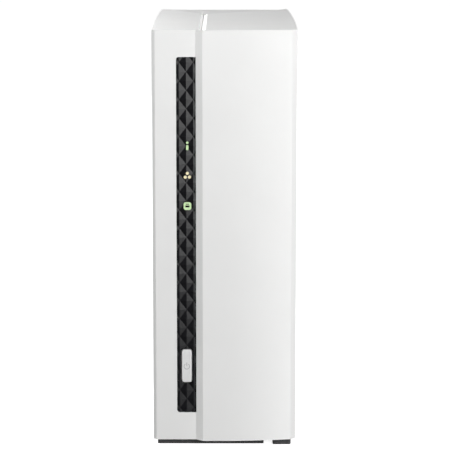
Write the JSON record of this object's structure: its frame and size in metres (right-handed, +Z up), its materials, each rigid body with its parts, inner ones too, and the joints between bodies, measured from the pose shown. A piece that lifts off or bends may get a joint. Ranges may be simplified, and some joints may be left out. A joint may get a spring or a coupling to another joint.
{
  "type": "network attached storage",
  "caption": "Upright desktop network storage box with a slide-off side cover, diamond-textured indicator strip, power button, rear fan and ports, and a hard drive inside.",
  "frame": {"origin": "middle of the bounding box, on the ground under the feet", "axes": "+Z up, -Y toward the front, +X to the right as seen from the front"},
  "size_m": [0.066, 0.1562, 0.1886],
  "materials": {
    "casing": "white, fine satin",
    "button": "white satin",
    "strip": "black, low gloss",
    "green_light": "clear light pipe, lit green",
    "amber_light": "clear light pipe, lit amber",
    "led": "clear",
    "board": "solder mask",
    "black_plastic": "moulded",
    "screw": "nickel plated",
    "chip": "moulded",
    "heatsink": "anodised",
    "port_shell": "tin plated",
    "capacitor": "satin",
    "usb_tongue": "moulded",
    "gold_pin": "plated",
    "white_plastic": "moulded",
    "cable": "insulation",
    "ribbon": "film",
    "bracket": "galvanised",
    "foot": "matt",
    "casting": "cast",
    "drive_lid": "pressed",
    "platter": "polished"
  },
  "bodies": {
    "chassis": {"left_shell": "casing", "rear_housing": "casing", "front_strip": "strip", "status_light_pipe": "green_light", "drive_light_pipe": "green_light", "network_light_pipe": "amber_light", "indicator_leds": "led", "indicator_board": "board", "main_board": "board", "socket_board": "board", "power_switch": "black_plastic", "coin_cell_holder": "black_plastic", "beeper": "black_plastic", "power_jack": "black_plastic", "reset_switch": "black_plastic", "board_link": "black_plastic", "drive_socket": "black_plastic", "fan_frame": "black_plastic", "indicator_screws": "screw", "board_screws": "screw", "socket_board_screws": "screw", "fan_screws": "screw", "bracket_screws": "screw", "cover_screws": "screw", "housing_screws": "screw", "processor": "chip", "memory_chips": "chip", "flash_chip": "chip", "power_inductors": "chip", "heatsink": "heatsink", "network_jack": "port_shell", "usb_port_upper": "port_shell", "usb_port_lower": "port_shell", "coin_cell": "port_shell", "capacitors": "capacitor", "usb_tongues": "usb_tongue", "power_jack_pin": "gold_pin", "fan_header": "white_plastic", "fan_cable": "cable", "ribbon_cable": "ribbon", "drive_bracket": "bracket", "front_foot": "foot", "rear_foot": "foot"},
    "cover": {"right_cover": "casing", "cover_feet": "foot"},
    "fan_wheel": {"fan_rotor": "black_plastic"},
    "power_key": {"power_button": "button", "power_switch_plunger": "black_plastic"},
    "reset_key": {"reset_plunger": "black_plastic"},
    "drive": {"drive_casting": "casting", "drive_lid": "drive_lid", "drive_lid_screws": "screw", "drive_mounting_screws": "screw", "drive_board": "board", "drive_plug": "black_plastic", "actuator_magnet": "drive_lid"},
    "platters": {"platter_stack": "platter"},
    "actuator": {"actuator_arm": "casting"}
  },
  "joints": [
    {"name": "cover_slide", "type": "slide", "parent": "chassis", "child": "cover", "axis": [0, -1, 0], "range_m": [0, 0.165]},
    {"name": "power_press", "type": "slide", "parent": "chassis", "child": "power_key", "axis": [0, 1, 0], "range_m": [0, 0.0006], "stiffness_N_per_m": 2500, "springref_m": -0.0002},
    {"name": "reset_press", "type": "slide", "parent": "chassis", "child": "reset_key", "axis": [0, -1, 0], "range_m": [0, 0.0004], "stiffness_N_per_m": 2500, "springref_m": -0.0002},
    {"name": "fan_spin", "type": "hinge", "parent": "chassis", "child": "fan_wheel", "pos_m": [0, 0.06915, 0.14], "axis": [0, 1, 0], "continuous": true},
    {"name": "drive_lift", "type": "slide", "parent": "chassis", "child": "drive", "axis": [0, 0, 1], "range_m": [0, 0.008]},
    {"name": "platter_spin", "type": "hinge", "parent": "drive", "child": "platters", "pos_m": [0.016, -0.0042, 0.12], "axis": [1, 0, 0], "continuous": true},
    {"name": "actuator_swing", "type": "hinge", "parent": "drive", "child": "actuator", "pos_m": [0.016, 0.022, 0.058], "axis": [1, 0, 0], "range_deg": [0, 30]}
  ]
}
